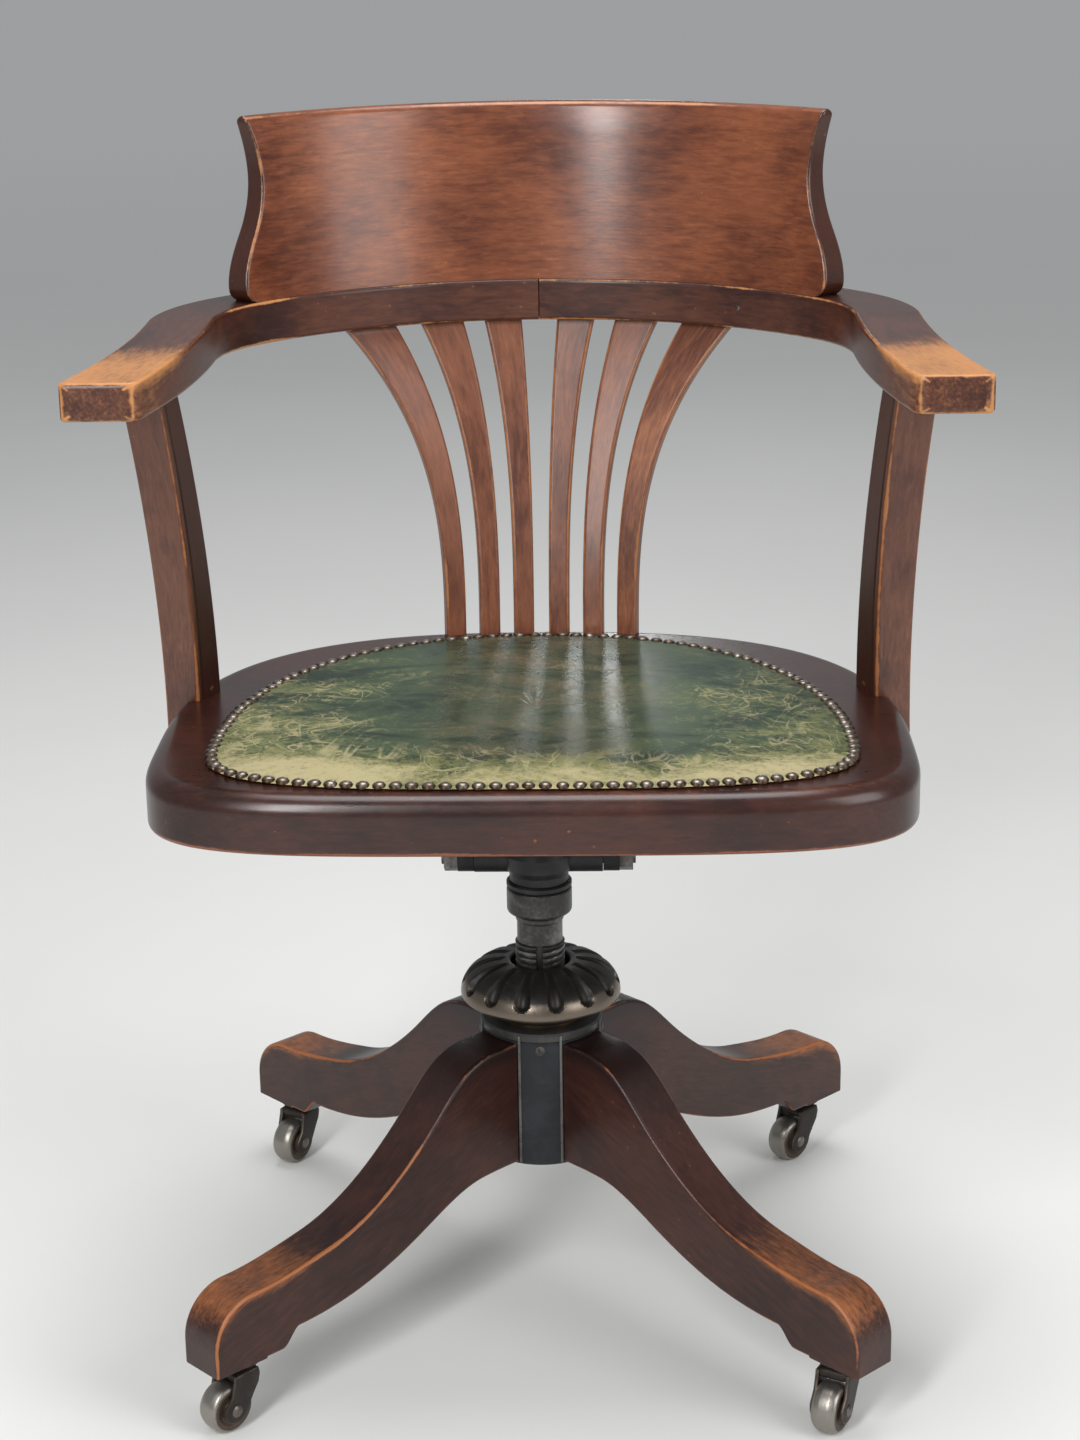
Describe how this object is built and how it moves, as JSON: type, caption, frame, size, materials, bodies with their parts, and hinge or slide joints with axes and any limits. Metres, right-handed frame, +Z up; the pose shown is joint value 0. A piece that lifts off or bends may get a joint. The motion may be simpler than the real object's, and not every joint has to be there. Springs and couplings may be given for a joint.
{
  "type": "swivel desk armchair",
  "caption": "Wooden swivel desk armchair: horseshoe arms, shaped crest, fanned slats, nailed leather seat, screw-height iron handwheel, sprung tilt, splayed legs on castors.",
  "frame": {"origin": "floor point under the swivel axis", "axes": "+Z up, the sitter faces -Y, +X is the sitter's left"},
  "size_m": [0.6094, 0.5324, 0.872],
  "materials": {
    "stained_wood": "satin varnish over red-brown stain",
    "plain_wood": "unfinished",
    "green_leather": "worn, waxed",
    "black_leather": "oiled",
    "black_iron": "worn black",
    "dark_steel": "darkened with age",
    "spring_steel": "oiled",
    "castor_iron": "dull, brown with age",
    "castor_wheel_metal": "worn bright on the tread",
    "brass": "dull",
    "rubber": "matt"
  },
  "bodies": {
    "base": {"hub_casting": "black_iron", "hub_plate": "black_iron", "hub_collar": "black_iron", "guide_bush": "brass", "spindle_key": "dark_steel", "wheel_washer": "brass", "leg_front_left": "stained_wood", "leg_front_right": "stained_wood", "leg_rear_left": "stained_wood", "leg_rear_right": "stained_wood", "castor_plate_front_left": "black_iron", "castor_plate_front_right": "black_iron", "castor_plate_rear_left": "black_iron", "castor_plate_rear_right": "black_iron"},
    "wheel": {"handwheel": "black_iron"},
    "spindle": {"screw_spindle": "dark_steel", "thrust_ring": "black_leather", "retaining_screw": "dark_steel"},
    "swivel": {"swivel_yoke": "black_iron", "stop_buffer": "rubber", "tilt_spring": "spring_steel"},
    "seat": {"seat_plate": "black_iron", "tilt_axle": "dark_steel", "axle_nut_right": "dark_steel", "axle_nut_left": "dark_steel", "seat_board": "stained_wood", "seat_pad": "green_leather", "arm_right": "stained_wood", "arm_left": "stained_wood", "arm_post_right": "stained_wood", "arm_post_left": "stained_wood", "bow_dowels": "plain_wood", "crest_rail": "stained_wood", "crest_dowels": "plain_wood", "slat_1": "stained_wood", "slat_2": "stained_wood", "slat_3": "stained_wood", "slat_4": "stained_wood", "slat_5": "stained_wood", "slat_6": "stained_wood"},
    "castor_front_left": {"castor_horn_front_left": "castor_iron", "castor_axle_front_left": "dark_steel"},
    "roller_front_left": {"castor_wheel_front_left": "castor_wheel_metal"},
    "castor_front_right": {"castor_horn_front_right": "castor_iron", "castor_axle_front_right": "dark_steel"},
    "roller_front_right": {"castor_wheel_front_right": "castor_wheel_metal"},
    "castor_rear_left": {"castor_horn_rear_left": "castor_iron", "castor_axle_rear_left": "dark_steel"},
    "roller_rear_left": {"castor_wheel_rear_left": "castor_wheel_metal"},
    "castor_rear_right": {"castor_horn_rear_right": "castor_iron", "castor_axle_rear_right": "dark_steel"},
    "roller_rear_right": {"castor_wheel_rear_right": "castor_wheel_metal"}
  },
  "joints": [
    {"name": "handwheel_turn", "type": "hinge", "parent": "base", "child": "wheel", "pos_m": [0, 0, 0.217], "axis": [0, 0, -1], "range_deg": [-1440, 5760]},
    {"name": "height_slide", "type": "slide", "parent": "base", "child": "spindle", "axis": [0, 0, 1], "range_m": [-0.0201, 0.0801]},
    {"name": "seat_swivel", "type": "hinge", "parent": "spindle", "child": "swivel", "pos_m": [0, 0, 0.327], "axis": [0, 0, 1], "continuous": true},
    {"name": "seat_tilt", "type": "hinge", "parent": "swivel", "child": "seat", "pos_m": [0, 0, 0.349], "axis": [-1, 0, 0], "range_deg": [0, 12], "stiffness_Nm_per_rad": 115, "springref_deg": -9.74, "deforming": ["tilt_spring"]},
    {"name": "castor_swivel_front_left", "type": "hinge", "parent": "base", "child": "castor_front_left", "pos_m": [-0.21072, -0.21072, 0.045], "axis": [0, 0, 1], "continuous": true},
    {"name": "castor_roll_front_left", "type": "hinge", "parent": "castor_front_left", "child": "roller_front_left", "pos_m": [-0.21975, -0.22007, 0.0185], "axis": [0.7193, -0.6947, 0], "continuous": true},
    {"name": "castor_swivel_front_right", "type": "hinge", "parent": "base", "child": "castor_front_right", "pos_m": [0.21072, -0.21072, 0.045], "axis": [0, 0, 1], "continuous": true},
    {"name": "castor_roll_front_right", "type": "hinge", "parent": "castor_front_right", "child": "roller_front_right", "pos_m": [0.20482, -0.2223, 0.0185], "axis": [0.891, -0.454, 0], "continuous": true},
    {"name": "castor_swivel_rear_left", "type": "hinge", "parent": "base", "child": "castor_rear_left", "pos_m": [-0.21072, 0.21072, 0.045], "axis": [0, 0, 1], "continuous": true},
    {"name": "castor_roll_rear_left", "type": "hinge", "parent": "castor_rear_left", "child": "roller_rear_left", "pos_m": [-0.21722, 0.19946, 0.0185], "axis": [0.866, -0.5, 0], "continuous": true},
    {"name": "castor_swivel_rear_right", "type": "hinge", "parent": "base", "child": "castor_rear_right", "pos_m": [0.21072, 0.21072, 0.045], "axis": [0, 0, 1], "continuous": true},
    {"name": "castor_roll_rear_right", "type": "hinge", "parent": "castor_rear_right", "child": "roller_rear_right", "pos_m": [0.20153, 0.20153, 0.0185], "axis": [0.7071, -0.7071, 0], "continuous": true}
  ],
  "couplings": [
    {"joint": "height_slide", "follows": "handwheel_turn", "m_per_rad": 0.00079577}
  ]
}
